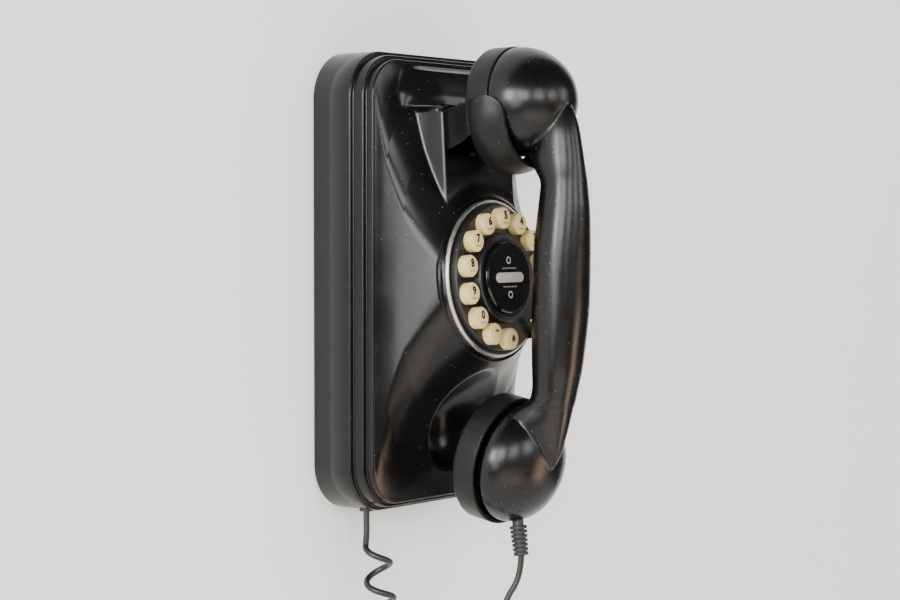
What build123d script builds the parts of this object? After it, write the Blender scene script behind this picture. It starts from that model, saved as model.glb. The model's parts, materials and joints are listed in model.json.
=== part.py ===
from build123d import *
from math import cos, hypot, pi, radians, sin, tan
import os

# Retro wall telephone: push buttons laid out like a rotary dial, handset hung upright in a cradle.
# Millimetres. +Z up, X to the viewer's right, +Y into the wall; the wall is the plane Y = 0.
# "Depth" below means the distance out from the wall, so a point at depth d has Y = -d.

# Housing
BODY_H = 230.0
BODY_W = 126.5
CORNER_R = 24.2
SIDE_DEPTH = 23.9
STEP_INSETS = (2.2, 4.5)
STEP_DEPTHS = (30.4, 34.7)
WALL_T = 2.5
BASE_T = 2.5
BASE_CLEAR = 0.2
WALL_HOLE_SPACING = 101.6
WALL_HOLE_R = 2.3

# Spine above the dial, brow over it and the slot for the cradle arm
SPINE_HALF_W = 28.0
SPINE_SIDE = ((28, 24), (57.4, 24), (54, 85), (54, 87.8), (47, 94.5), (33, 109), (28, 109))
SLOT_HALF_W = 25.5
SLOT_Z = (63.0, 87.8)

# Hollow below the dial that the mouthpiece hangs in front of
SCOOP_CENTRE = (59.0, -77.0)
SCOOP_R = 31.0

# Dial: everything on it is set out from the back of the bezel, along the dial axis
DIAL_DEPTH = 64.2
DIAL_Z = 1.4
DIAL_TILT = 4.6
BEZEL_R = 39.7
BEZEL_IN_R = 37.3
BEZEL_H = 2.6
KEYPAD_HOLE_R = 36.8
KEYPAD_R = 36.4
PLATE_T = 2.0
PLATE_LOW = 1.6
PLATE_TOP = 5.2
PLATE_R = 36.6
HUB_R = 22.4
HUB_TOP = 9.0
DISC_R = 18.0
DISC_TOP = 10.4
DISC_T = 3.0
BAR_L = 22.2
BAR_W = 5.0
BAR_PROUD = 0.4
BAR_T = 2.0
BUTTON_R = 5.4
BUTTON_TOP = 10.6
BUTTON_CIRCLE_R = 30.3
BUTTON_STEP = 360 / 14
BUTTON_NAMES = ("1", "2", "3", "4", "5", "6", "7", "8", "9", "0", "star", "hash")

# Cradle hook
PIN_DEPTH = 24.0
PIN_Z = 72.0
PIN_R = 2.0
PIN_HALF_L = 29.0
ARM_HALF_W = 24.8
TROUGH_HALF_W = 31.0
TROUGH_CENTRE_Z = 84.5
TROUGH_BACK = 70.5
TROUGH_FRONT = 91.0
CRADLE_BORE_R = 27.9

# Handset
EAR_DEPTH = 66.4
EAR_Z = 89.5
EAR_R = 27.4
EAR_W = 14.0
DOME_H = 29.5
MOUTH_DEPTH = 63.0
MOUTH_Z = -87.4
MOUTH_R = 32.4
MOUTH_W = 13.7
MOUTH_TILT = 10.6
BULB_R = 30.6
BULB_H = 25.0
# Handle sections from the ear end down: height, depth of centre, half width, half depth
HANDLE = (
    (80, 101.5, 13.0, 11.5), (62, 105.6, 12.8, 10.2), (50, 107.0, 12.5, 9.8), (36, 107.6, 14.2, 11.6),
    (21, 106.9, 15.4, 12.6), (4, 106.3, 16.0, 13.1), (-18, 105.4, 15.6, 12.9), (-36, 104.3, 14.3, 11.7),
    (-53, 103.0, 12.6, 10.2), (-66, 100.5, 13.0, 11.0), (-80, 96.0, 14.0, 12.0),
)
SHELL_T = 2.4

# Cord
CORD_D = 3.2
COIL_D = 15.8
BODY_EXIT = (-42.0, 16.0)
BUSH_LIP = 0.5
RELIEF_TOP = (79.0, -114.0)
RELIEF_END = (82.0, -137.0)
# Route in the upright plane through both ends: share of the way across, height
ROUTE = (
    (0.0, -115.5), (0.0, -142.0), (0.064, -178.0), (0.064, -212.0), (0.115, -243.0), (0.32, -262.0),
    (0.60, -262.0), (0.80, -245.0), (0.85, -212.0), (0.825, -179.0), (0.895, -160.0), (0.995, -148.0),
)


def front_plane(depth):
    return Plane(origin=(0, -depth, 0), x_dir=(1, 0, 0), z_dir=(0, -1, 0))


def tilted_plane(depth, z, tilt):
    # Face of a disc at this depth whose outward normal is tipped up by tilt degrees
    a = radians(tilt)
    return Plane(origin=(0, -depth, z), x_dir=(1, 0, 0), z_dir=(0, -cos(a), sin(a)))


def rounded_slab(width, height, radius, depth_from, depth_to):
    face = front_plane(depth_from) * RectangleRounded(width, height, radius)
    return extrude(face, amount=depth_to - depth_from)


def block(x_range, depth_range, z_range):
    size = (x_range[1] - x_range[0], depth_range[1] - depth_range[0], z_range[1] - z_range[0])
    middle = (sum(x_range) / 2, -sum(depth_range) / 2, sum(z_range) / 2)
    return Pos(*middle) * Box(*size)


def rod(plane, radius, low, high):
    # Cylinder on the plane's normal between two heights above the plane
    return plane.offset(low).location * Cylinder(radius, high - low, align=(Align.CENTER, Align.CENTER, Align.MIN))


def side_prism(points, half_w):
    # Outline given as depth, height; extruded across the phone
    outline = Polyline(*[(0, -d, z) for d, z in points], close=True)
    return extrude(make_face(outline), amount=half_w, dir=(1, 0, 0), both=True)


def turned(profile, plane):
    # Solid of revolution about the plane's normal from radius, height pairs
    outline = Polyline(*[(r, 0, h) for r, h in profile], close=True)
    return plane.location * revolve(make_face(outline), Axis.Z)


def dome(radius, height, plane):
    arc = [(radius * cos(radians(a)), 0, height * sin(radians(a))) for a in range(0, 91, 10)]
    curve = Spline(*arc, tangents=((0, 0, 1), (-1, 0, 0)))
    sides = Polyline(arc[-1], (0, 0, 0), arc[0])
    return plane.location * revolve(make_face(Curve() + [curve, sides]), Axis.Z)


def tent(inset):
    # The front sweeps from the rim to the dial in a hollow curve, section by section
    sections = Sketch()
    for share, width, height, radius in (
        (0.0, 115.5, 219.0, 19.0), (0.22, 103.0, 160.0, 38.0), (0.5, 92.0, 117.0, 43.0),
        (0.78, 84.0, 93.0, 41.0), (1.0, 80.0, 80.5, 39.0),
    ):
        depth = STEP_DEPTHS[1] - 2.0 - inset + share * (DIAL_DEPTH - STEP_DEPTHS[1] + 2.0)
        plane = tilted_plane(depth, share * DIAL_Z, share * DIAL_TILT)
        sections += plane * RectangleRounded(width - 2 * inset, height - 2 * inset, radius - inset)
    return loft(sections)


dial = tilted_plane(DIAL_DEPTH, DIAL_Z, DIAL_TILT)
ear = tilted_plane(EAR_DEPTH, EAR_Z, 1.0)
mouth = tilted_plane(MOUTH_DEPTH, MOUTH_Z, -MOUTH_TILT)
nodes = {}

# Housing: stepped rim, swept front, spine and brow, all one moulding with a hollow inside
outside = rounded_slab(BODY_W, BODY_H, CORNER_R, 0, SIDE_DEPTH)
inside = rounded_slab(BODY_W - 2 * WALL_T, BODY_H - 2 * WALL_T, CORNER_R - WALL_T, -1, SIDE_DEPTH - WALL_T)
bottoms = (SIDE_DEPTH, STEP_DEPTHS[0])
for inset, low, high in zip(STEP_INSETS, bottoms, STEP_DEPTHS):
    size = (BODY_W - 2 * inset, BODY_H - 2 * inset, CORNER_R - inset)
    outside += rounded_slab(*size, low, high)
    hollow = (size[0] - 2 * WALL_T, size[1] - 2 * WALL_T, size[2] - WALL_T)
    inside += rounded_slab(*hollow, low - WALL_T, high - WALL_T)
scoop_at = Pos(0, -SCOOP_CENTRE[0], SCOOP_CENTRE[1])
spine = side_prism(SPINE_SIDE, SPINE_HALF_W)
spine_hollow = side_prism(((20, 26), (54.6, 26), (51.5, 85), (51.5, 86), (45.5, 92), (31, 105), (20, 105)), SLOT_HALF_W)
outside = outside + tent(0) + spine - scoop_at * Sphere(SCOOP_R)
inside = inside + tent(WALL_T) + spine_hollow - scoop_at * Sphere(SCOOP_R + WALL_T)
housing = outside - inside
housing -= rod(dial, KEYPAD_HOLE_R, -12, 12)
housing -= rod(dial, BEZEL_IN_R, PLATE_LOW - PLATE_T, 12)
housing -= block((-SLOT_HALF_W, SLOT_HALF_W), (40, 64), SLOT_Z)
# Bosses for the four screws that hold the base plate, and the cord outlet in the bottom wall
SCREW_XZ = [(sx * 50.0, sz * 98.0) for sx in (-1, 1) for sz in (-1, 1)]
wall = front_plane(0)
for x, z in SCREW_XZ:
    boss = Plane(origin=(x, 0, z), x_dir=(1, 0, 0), z_dir=(0, -1, 0))
    housing += rod(boss, 4.0, BASE_T, STEP_DEPTHS[1] - 1.0)
    housing -= rod(boss, 1.5, BASE_T - 1, 18)
outlet = Plane(origin=(BODY_EXIT[0], -BODY_EXIT[1], -BODY_H / 2), x_dir=(1, 0, 0), z_dir=(0, 0, -1))
housing -= rod(outlet, 3.6, -6, 6)
nodes["housing"] = housing

# Base plate with two screw holes, hinge lugs for the cradle and posts for the boards
inner_size = (BODY_W - 2 * (WALL_T + BASE_CLEAR), BODY_H - 2 * (WALL_T + BASE_CLEAR))
base = rounded_slab(*inner_size, CORNER_R - WALL_T - BASE_CLEAR, 0, BASE_T)
for sx in (-1, 1):
    lug_x = sorted((sx * 25.6, sx * 28.8))
    lug = block(lug_x, (BASE_T, PIN_DEPTH + 4), (PIN_Z - 6, PIN_Z + 6))
    base += lug
pin_axis = Plane(origin=(0, -PIN_DEPTH, PIN_Z), x_dir=(0, 0, 1), z_dir=(1, 0, 0))
base -= rod(pin_axis, PIN_R, -40, 40)
POST_XZ = [(sx * 36.0, z) for sx in (-1, 1) for z in (-82.0, -30.0)]
for x, z in POST_XZ:
    post = Plane(origin=(x, 0, z), x_dir=(1, 0, 0), z_dir=(0, -1, 0))
    base += rod(post, 3.0, BASE_T, 8.0)
    base -= rod(post, 1.2, 1.0, 9.0)
for sz in (-1, 1):
    hole = Plane(origin=(0, 0, sz * WALL_HOLE_SPACING / 2), x_dir=(1, 0, 0), z_dir=(0, -1, 0))
    base -= rod(hole, WALL_HOLE_R, -1, 6)
for x, z in SCREW_XZ:
    hole = Plane(origin=(x, 0, z), x_dir=(1, 0, 0), z_dir=(0, -1, 0))
    base -= rod(hole, 1.8, -1, 6)
    base -= rod(hole, 3.4, -1, 1.4)
# Window for the line jack
base -= block((-8.5, 8.5), (-1, 6), (-9, 9))
nodes["base_plate"] = base

# Pan-head screws: four join base and housing, four hold the main board
def screw(x, z, head_depth, head_r, shank_r, length, head_h):
    axis = Plane(origin=(x, 0, z), x_dir=(1, 0, 0), z_dir=(0, -1, 0))
    return rod(axis, head_r, head_depth, head_depth + head_h) + rod(axis, shank_r, head_depth, head_depth + length)


nodes["housing_screws"] = Compound(children=[screw(x, z, 0.2, 3.1, 1.5, 14, 1.2) for x, z in SCREW_XZ])
board_screws = []
for x, z in POST_XZ:
    axis = Plane(origin=(x, 0, z), x_dir=(1, 0, 0), z_dir=(0, -1, 0))
    board_screws.append(rod(axis, 2.4, 9.6, 11.0) + rod(axis, 1.2, 2.0, 9.6))
nodes["board_screws"] = Compound(children=board_screws)

# Main board with the line jack, the ringer, the reed switch and the cord socket
main_board = block((-42, 42), (8.0, 9.6), (-90, -22))
for x, z in POST_XZ:
    hole = Plane(origin=(x, 0, z), x_dir=(1, 0, 0), z_dir=(0, -1, 0))
    main_board -= rod(hole, 1.4, 7, 11)
nodes["main_board"] = main_board
jack_shell = block((-8, 8), (0.5, 13), (-8.5, 8.5))
nodes["line_jack"] = jack_shell - block((-5.5, 5.5), (-1, 10), (-4, 4))
ringer_axis = Plane(origin=(16, 0, -52), x_dir=(1, 0, 0), z_dir=(0, -1, 0))
nodes["ringer"] = rod(ringer_axis, 12.5, 9.6, 15.6) - rod(ringer_axis, 2.0, 12.0, 16)
nodes["cord_socket"] = block((-32, -16), (9.6, 21), (-90, -74)) - block((-30, -18), (12, 19), (-91, -80))
nodes["reed_switch"] = block((-6, 6), (BASE_T, 8), (46, 56))

# Cradle hinge pin and its torsion spring
nodes["hook_pin"] = rod(pin_axis, PIN_R, -PIN_HALF_L, PIN_HALF_L)
spring_rings = [rod(pin_axis, 3.6, 4.0 * i - 14.1, 4.0 * i - 12.3) - rod(pin_axis, PIN_R, -20, 20) for i in range(8)]
nodes["hook_spring"] = Compound(children=spring_rings)

# Cradle: a wide arm through the slot that opens into a half-round trough under the ear cap
arm_side = (
    (19, 66), (19, 78), (27, 80.5), (50, 84.6), (56, 85), (66, 87.5), (76, 90.5), (82, 91.2), (88, 89),
    (91, 85), (91, 74), (72, 74), (56, 66),
)
arm_plan = Polyline(
    (-ARM_HALF_W, -18), (-ARM_HALF_W, -59), (-TROUGH_HALF_W, -71), (-TROUGH_HALF_W, -91.5),
    (TROUGH_HALF_W, -91.5), (TROUGH_HALF_W, -71), (ARM_HALF_W, -59), (ARM_HALF_W, -18), close=True,
)
arm = side_prism(arm_side, 40) & Pos(0, 0, 40) * extrude(make_face(arm_plan), amount=70)
arm -= side_prism(((10, 60), (10, 77), (27, 78), (50, 82.1), (63, 84), (63, 60)), ARM_HALF_W - 2.5)
trough_shape = Pos(0, TROUGH_CENTRE_Z) * Circle(TROUGH_HALF_W)
trough_shape += Pos(0, TROUGH_CENTRE_Z + 3.3) * Rectangle(2 * TROUGH_HALF_W, 6.6)
trough = extrude(front_plane(TROUGH_BACK) * trough_shape, amount=TROUGH_FRONT - TROUGH_BACK)
trough &= side_prism(((70, 50), (70, 88.7), (76, 90.5), (82, 91.2), (88, 89), (91, 85), (92, 50)), 40)
cradle = arm + trough - rod(ear, CRADLE_BORE_R, -0.6, 40)
cradle -= block((-CRADLE_BORE_R, CRADLE_BORE_R), (EAR_DEPTH - 0.6, 100), (EAR_Z, 110))
cradle -= rod(pin_axis, PIN_R + 0.05, -40, 40)
nodes["cradle_hook"] = cradle
nodes["hook_magnet"] = block((-5, 5), (30, 36), (75.2, 78.3))

# Dial: bezel, plate with a hole per button, hub, finger stop, keypad behind
nodes["bezel_ring"] = turned(
    ((BEZEL_IN_R, 0), (BEZEL_R, 0), (BEZEL_R, 1.5), (BEZEL_R - 0.9, BEZEL_H), (BEZEL_IN_R + 0.4, BEZEL_H),
     (BEZEL_IN_R, BEZEL_H - 0.6)), dial)
button_at = {}
for i, name in enumerate(BUTTON_NAMES):
    angle = radians(-BUTTON_STEP / 2 + i * BUTTON_STEP)
    button_at[name] = (BUTTON_CIRCLE_R * cos(angle), BUTTON_CIRCLE_R * sin(angle))
plate = turned(
    ((0, PLATE_TOP - PLATE_T), (PLATE_R - PLATE_T, PLATE_TOP - PLATE_T), (PLATE_R - PLATE_T, PLATE_LOW - PLATE_T),
     (BEZEL_IN_R, PLATE_LOW - PLATE_T), (BEZEL_IN_R, PLATE_LOW - PLATE_T / 2), (PLATE_R, PLATE_LOW - PLATE_T / 2),
     (PLATE_R - 0.2, PLATE_TOP - 0.7), (PLATE_R - 0.8, PLATE_TOP), (0, PLATE_TOP)), dial)
hub = turned(
    ((HUB_R - 2.4, PLATE_TOP), (HUB_R, PLATE_TOP), (HUB_R, HUB_TOP - 0.8), (HUB_R - 0.8, HUB_TOP),
     (HUB_R - 2.0, HUB_TOP), (DISC_R + 0.6, HUB_TOP - 1.2), (DISC_R + 0.6, HUB_TOP - 3.0),
     (HUB_R - 2.4, HUB_TOP - 3.0)), dial)
buttons = {}
for name, (x, z) in button_at.items():
    axis = dial * Pos(x, z, 0)
    axis = Plane(axis)
    plate -= rod(axis, BUTTON_R + 0.35, -4, PLATE_TOP + 1)
    cap = rod(axis, BUTTON_R, -0.4, BUTTON_TOP - 1.2)
    crown = dome(BUTTON_R, 1.2, axis.offset(BUTTON_TOP - 1.2))
    stem = rod(axis, 2.0, -3.0, 0)
    flange = rod(axis, BUTTON_R + 0.75, -1.8, -0.8)
    buttons[name] = cap + crown + stem + flange
nodes["dial_plate"] = plate - rod(dial, 3.0, -4, PLATE_TOP + 1)
nodes["dial_hub"] = hub
for name, shape in buttons.items():
    nodes["button_" + name] = shape
stop_profile = ((38.4, BEZEL_H), (38.4, 8.2), (35.5, 10.2), (27.0, 10.2), (27.0, 8.9), (35.0, 8.9), (37.0, 7.6), (37.0, BEZEL_H))
stop_points = [(r, 0, h) for r, h in stop_profile]
stop_face = make_face(Polyline(*stop_points, close=True))
stop_blade = extrude(stop_face, amount=3.2, dir=(0, 1, 0), both=True)
nodes["finger_stop"] = dial.location * Rot(0, 0, -BUTTON_STEP / 2 - 1.5 * BUTTON_STEP) * stop_blade
pad = rod(dial, KEYPAD_R, -7.6, -5.2)
nodes["keypad_membrane"] = pad - rod(dial, 3.0, -9, 0)
nodes["keypad_board"] = rod(dial, KEYPAD_R, -9.2, -7.6)

# Centre key: a glossy disc that rocks on a short post, with a plain bar across it
disc = turned(
    ((0, DISC_TOP - DISC_T), (DISC_R, DISC_TOP - DISC_T), (DISC_R, DISC_TOP - 0.8), (DISC_R - 0.8, DISC_TOP),
     (0, DISC_TOP)), dial)
bar_seat = dial * Pos(0, 0, DISC_TOP + BAR_PROUD - BAR_T)
nodes["center_disc"] = disc - bar_seat * extrude(SlotOverall(BAR_L, BAR_W), amount=BAR_T)
nodes["center_bar"] = bar_seat * extrude(SlotOverall(BAR_L, BAR_W), amount=BAR_T)
nodes["center_post"] = rod(dial, 2.6, -7.6, DISC_TOP - DISC_T - 1.2)

# Handset: shell with a domed ear end, barrel handle and bulb, capped at both ends
bulb_plane = mouth.offset(MOUTH_W)
dome_plane = ear.offset(EAR_W)


def handle(inset, rows):
    sections = Sketch()
    for z, depth, half_w, half_d in rows:
        sections += Plane(origin=(0, -depth, z), x_dir=(1, 0, 0), z_dir=(0, 0, -1)) * Ellipse(half_w - inset, half_d - inset)
    return loft(sections)


shell = dome(EAR_R - 0.5, DOME_H, dome_plane) + handle(0, HANDLE)
shell += rod(bulb_plane, BULB_R - 1.8, 0, 3.0) + dome(BULB_R, BULB_H, bulb_plane.offset(2.4))
hollow = dome(EAR_R - 0.5 - SHELL_T, DOME_H - SHELL_T, dome_plane.offset(-0.01)) + handle(SHELL_T, HANDLE[1:-1])
hollow += dome(BULB_R - 1.8 - SHELL_T, BULB_H - SHELL_T + 2.0, bulb_plane.offset(-0.01))
shell -= hollow
relief_dir = Vector(0, RELIEF_TOP[0] - RELIEF_END[0], RELIEF_END[1] - RELIEF_TOP[1]).normalized()
relief = Plane(origin=(0, -RELIEF_TOP[0], RELIEF_TOP[1]), x_dir=(1, 0, 0), z_dir=relief_dir)
relief_len = hypot(RELIEF_END[0] - RELIEF_TOP[0], RELIEF_END[1] - RELIEF_TOP[1])
shell -= rod(relief, 3.4, -8, 12)
shell -= rod(mouth, 60, -20, MOUTH_W)
shell -= rod(ear, 60, -20, EAR_W)
nodes["handset_shell"] = shell

# Caps: dished faces toward the wall with a ring of sound holes
def cap(plane, radius, width, dish, hole_rings):
    body = turned(
        ((0, dish), (radius - 5.0, 0.6), (radius - 2.5, 0), (radius - 0.8, 0.5), (radius, 1.6), (radius, width),
         (radius - 2.6, width), (radius - 2.6, 5.5), (0, 5.5)), plane)
    for ring_r, count in hole_rings:
        for i in range(count):
            a = 2 * pi * i / count
            at = Plane(plane * Pos(ring_r * cos(a), ring_r * sin(a), 0))
            body -= rod(at, 1.1, -1, 7)
    return body


nodes["ear_cap"] = cap(ear, EAR_R, EAR_W, 2.6, ((4.0, 4), (9.5, 9)))
nodes["mouth_cap"] = cap(mouth, MOUTH_R, MOUTH_W, 2.6, ((4.0, 4), (9.5, 9), (15.0, 14)))
nodes["receiver_capsule"] = rod(ear, 20.0, 5.6, 13.0)
nodes["microphone_capsule"] = rod(mouth, 16.0, 5.6, 12.0)
nodes["handset_weight"] = block((-7, 7), (101, 109), (-22, 22))

# Ribbed strain relief
sleeve = rod(relief, 2.9, 0, relief_len)
for i in range(7):
    rib_r = 4.4 - 0.1 * i
    low = relief_len - 1.7 - 2.2 * (6 - i)
    sleeve += rod(relief, rib_r, low, low + 1.5)
nodes["strain_relief"] = sleeve

# Outlet bush in the bottom wall of the housing: its collar is inside, only a small lip shows below
nodes["outlet_bush"] = rod(outlet, 3.6, -WALL_T - 2.8, BUSH_LIP) + rod(outlet, 4.3, -WALL_T - 2.8, -WALL_T - 1.6)

# Cord: plain lead, loosely hanging coil drawn as one tube of its outer size, plain lead
relief_point = (0.0, -RELIEF_END[0], RELIEF_END[1])
end_points = ((BODY_EXIT[0], -BODY_EXIT[1]), (0.0, -RELIEF_END[0]))


def route_point(share, z):
    x = end_points[0][0] + share * (end_points[1][0] - end_points[0][0])
    y = end_points[0][1] + share * (end_points[1][1] - end_points[0][1])
    return Vector(x, y, z)


route = [route_point(*p) for p in ROUTE] + [Vector(*relief_point)]


def bend_radii(points):
    radii = []
    for before, at, after in zip(points, points[1:], points[2:]):
        run_in = at - before
        run_out = after - at
        turn = radians(run_in.get_angle(run_out))
        radii.append(0.45 * min(run_in.length, run_out.length) / tan(turn / 2))
    return radii


all_radii = bend_radii(route)
print("cord bend radii mm:", [round(r, 1) for r in all_radii])


def tube(points, radii, diameter):
    path = FilletPolyline(*points, radius=radii) if radii else Line(*points)
    start = Plane(origin=path @ 0, z_dir=path % 0)
    return sweep(start * Circle(diameter / 2), path=path)


coil_start = (route[0] + route[1]) * 0.5
coil_end = (route[8] + route[9]) * 0.5
nodes["cord_body_lead"] = tube([route[0], coil_start], [], CORD_D)
nodes["cord_coil"] = tube([coil_start] + route[1:9] + [coil_end], all_radii[:8], COIL_D)
nodes["cord_handset_lead"] = tube([coil_end] + route[9:], all_radii[8:], CORD_D)

os.makedirs("parts", exist_ok=True)
for name, shape in nodes.items():
    shape.label = name
    export_step(shape, "parts/" + name + ".step")
    print(name, len(shape.solids()), round(shape.volume), shape.is_valid)
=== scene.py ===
import bmesh
import bpy
import json
import math
import numpy as np
from mathutils import Matrix, Vector


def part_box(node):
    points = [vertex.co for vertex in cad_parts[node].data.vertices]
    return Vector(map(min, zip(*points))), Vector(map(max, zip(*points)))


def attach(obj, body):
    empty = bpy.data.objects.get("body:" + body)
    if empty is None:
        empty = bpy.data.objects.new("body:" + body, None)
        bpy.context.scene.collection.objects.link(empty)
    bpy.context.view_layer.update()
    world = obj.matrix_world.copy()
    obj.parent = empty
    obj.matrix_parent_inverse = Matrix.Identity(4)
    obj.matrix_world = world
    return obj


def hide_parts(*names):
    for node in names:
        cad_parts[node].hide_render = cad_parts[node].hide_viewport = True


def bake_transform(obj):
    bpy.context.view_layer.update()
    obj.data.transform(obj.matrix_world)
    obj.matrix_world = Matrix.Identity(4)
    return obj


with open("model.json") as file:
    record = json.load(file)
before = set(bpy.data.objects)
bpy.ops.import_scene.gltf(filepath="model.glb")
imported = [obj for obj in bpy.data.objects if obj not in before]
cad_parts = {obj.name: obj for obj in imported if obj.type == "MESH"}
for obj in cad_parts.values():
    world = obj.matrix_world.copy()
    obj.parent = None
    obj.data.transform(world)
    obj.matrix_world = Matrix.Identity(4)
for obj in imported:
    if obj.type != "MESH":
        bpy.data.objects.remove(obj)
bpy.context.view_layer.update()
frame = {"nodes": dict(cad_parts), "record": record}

# Metres, +Z up, X to the viewer's right, +Y into the wall. "Depth" is the distance out from the wall.
MM = 0.001
JOINTS = {j["name"]: j for j in frame["record"]["behaviour"]["joints"]}

# ---------------------------------------------------------------- camera

CAMERA_AZIMUTH = math.radians(-51.9)
CAMERA_HEIGHT = math.radians(2.2)
CAMERA_DISTANCE = 1.0325
CAMERA_TARGET = Vector((-0.0266, -0.0575, -0.0087))
LENS_MM = 83.3
SENSOR_MM = 36.0


def add_camera():
    data = bpy.data.cameras.new("camera")
    data.lens = LENS_MM
    data.sensor_width = SENSOR_MM
    camera = bpy.data.objects.new("camera", data)
    away = Vector((
        math.sin(CAMERA_AZIMUTH) * math.cos(CAMERA_HEIGHT),
        -math.cos(CAMERA_AZIMUTH) * math.cos(CAMERA_HEIGHT),
        math.sin(CAMERA_HEIGHT),
    ))
    camera.location = CAMERA_TARGET + away * CAMERA_DISTANCE
    camera.rotation_euler = (-away).to_track_quat("-Z", "Y").to_euler()
    bpy.context.collection.objects.link(camera)
    bpy.context.scene.camera = camera


# ---------------------------------------------------------------- materials

# Texture scales are in cells to a metre of the object
TONE_SCALE = 22.0
SMEAR_SCALE = 60.0
WAVE_SCALE = 38.0
GRAIN_SCALE = 2600.0
FLECK_SCALE = 420.0
FLECK_SIZE = 0.13
FLECK_SHARE = 0.2
SCUFF_SCALE = 700.0
DUST_COLOUR = (0.42, 0.41, 0.38)
PLASTIC_IOR = 1.5
WALL_GLOW = 0.34


def new_material(name):
    material = bpy.data.materials.new(name)
    material.use_nodes = True
    tree = material.node_tree
    shader = tree.nodes["Principled BSDF"]
    place = tree.nodes.new("ShaderNodeTexCoord").outputs["Object"]
    return material, tree, shader, place


def noise(tree, place, scale, detail=3.0, rough=0.5):
    node = tree.nodes.new("ShaderNodeTexNoise")
    node.inputs["Scale"].default_value = scale
    node.inputs["Detail"].default_value = detail
    node.inputs["Roughness"].default_value = rough
    tree.links.new(place, node.inputs["Vector"])
    return node.outputs["Fac"]


def ramp(tree, value, low, high, out_low, out_high):
    node = tree.nodes.new("ShaderNodeMapRange")
    for socket, number in zip(node.inputs[1:5], (low, high, out_low, out_high)):
        socket.default_value = number
    tree.links.new(value, node.inputs[0])
    return node.outputs[0]


def mix_colour(tree, factor, first, second):
    node = tree.nodes.new("ShaderNodeMix")
    node.data_type = "RGBA"
    tree.links.new(factor, node.inputs["Factor"])
    for socket, colour in ((node.inputs[6], first), (node.inputs[7], second)):
        if isinstance(colour, tuple):
            socket.default_value = colour + (1.0,)
        else:
            tree.links.new(colour, socket)
    return node.outputs[2]


def add_bump(tree, shader, height, strength, distance):
    node = tree.nodes.new("ShaderNodeBump")
    node.inputs["Strength"].default_value = strength
    node.inputs["Distance"].default_value = distance
    tree.links.new(height, node.inputs["Height"])
    tree.links.new(node.outputs["Normal"], shader.inputs["Normal"])


def specks(tree, place, scale, size):
    # Sparse round flecks: 1 inside a fleck, 0 outside
    cells = tree.nodes.new("ShaderNodeTexVoronoi")
    cells.inputs["Scale"].default_value = scale
    tree.links.new(place, cells.inputs["Vector"])
    near = ramp(tree, cells.outputs["Distance"], size * 0.6, size, 1.0, 0.0)
    chosen = tree.nodes.new("ShaderNodeSeparateColor")
    tree.links.new(cells.outputs["Color"], chosen.inputs["Color"])
    rare = ramp(tree, chosen.outputs["Red"], 1 - FLECK_SHARE, 1.02 - FLECK_SHARE, 0.0, 1.0)
    both = tree.nodes.new("ShaderNodeMath")
    both.operation = "MULTIPLY"
    tree.links.new(near, both.inputs[0])
    tree.links.new(rare, both.inputs[1])
    return both.outputs[0]


def plastic(name, colour, second, rough, rough_spread, dust, grain=0.0, wave=0.0, shine=0.5):
    """Moulded plastic: two close tones, uneven gloss, fine dust and either grain or a slow surface wave."""
    material, tree, shader, place = new_material(name)
    patches = ramp(tree, noise(tree, place, TONE_SCALE), 0.35, 0.65, 0.0, 1.0)
    tone = mix_colour(tree, patches, colour, second)
    dusty = tree.nodes.new("ShaderNodeMath")
    dusty.operation = "MULTIPLY"
    dusty.inputs[1].default_value = dust
    tree.links.new(specks(tree, place, FLECK_SCALE, FLECK_SIZE), dusty.inputs[0])
    tree.links.new(mix_colour(tree, dusty.outputs[0], tone, DUST_COLOUR), shader.inputs["Base Color"])
    smear = noise(tree, place, SMEAR_SCALE, 5.0, 0.62)
    gloss = ramp(tree, smear, 0.3, 0.7, rough - rough_spread, rough + rough_spread)
    tree.links.new(gloss, shader.inputs["Roughness"])
    shader.inputs["IOR"].default_value = PLASTIC_IOR
    shader.inputs["Specular IOR Level"].default_value = shine
    if grain:
        add_bump(tree, shader, noise(tree, place, GRAIN_SCALE, 2.0), grain, 0.0001)
    elif wave:
        add_bump(tree, shader, noise(tree, place, WAVE_SCALE, 2.0), wave, 0.0006)
    return material


def metal(name, colour, rough):
    material, tree, shader, place = new_material(name)
    shader.inputs["Metallic"].default_value = 1.0
    shade = mix_colour(tree, noise(tree, place, 90.0, 4.0), colour, tuple(c * 0.86 for c in colour))
    tree.links.new(shade, shader.inputs["Base Color"])
    scuff = noise(tree, place, SCUFF_SCALE, 4.0, 0.6)
    tree.links.new(ramp(tree, scuff, 0.3, 0.7, rough * 0.7, rough * 1.5), shader.inputs["Roughness"])
    add_bump(tree, shader, scuff, 0.03, 0.0001)
    return material


def wall_paint():
    material, tree, shader, place = new_material("wall_paint")
    tone = mix_colour(tree, noise(tree, place, 3.0), (0.86, 0.855, 0.835), (0.90, 0.895, 0.88))
    tree.links.new(tone, shader.inputs["Base Color"])
    shader.inputs["Roughness"].default_value = 0.75
    shader.inputs["Emission Color"].default_value = (1.0, 0.985, 0.955, 1.0)
    shader.inputs["Emission Strength"].default_value = WALL_GLOW
    add_bump(tree, shader, noise(tree, place, 260.0, 3.0), 0.12, 0.0008)
    return material


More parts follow.
